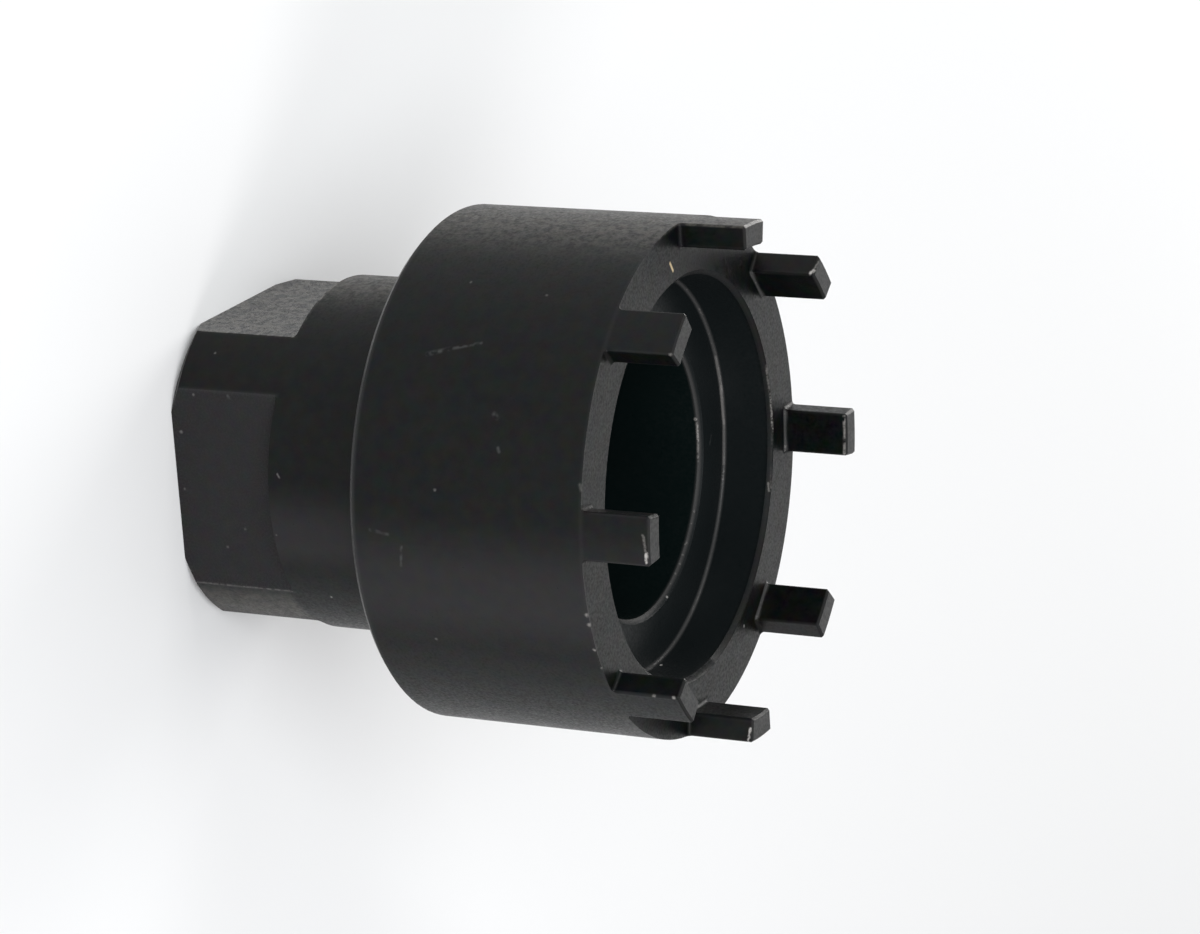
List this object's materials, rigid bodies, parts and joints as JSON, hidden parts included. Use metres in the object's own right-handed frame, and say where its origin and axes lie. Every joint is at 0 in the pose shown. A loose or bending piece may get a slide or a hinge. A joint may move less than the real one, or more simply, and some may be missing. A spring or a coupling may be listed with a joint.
{
  "type": "chainring lockring tool",
  "caption": "Toothed socket for turning a chainring lockring: stepped steel cylinder with upright teeth round an open mouth, a smaller collar and wrench flats at the drive end.",
  "frame": {"origin": "centre of the drive end face, on the tool's axis", "axes": "+Z along the axis from the drive end to the teeth; +X square to one wrench flat"},
  "size_m": [0.0556, 0.0556, 0.0612],
  "materials": {
    "black_steel": "black oxide on turned and milled steel, satin"
  },
  "bodies": {
    "root": {"lockring_tool": "black_steel"}
  },
  "joints": []
}
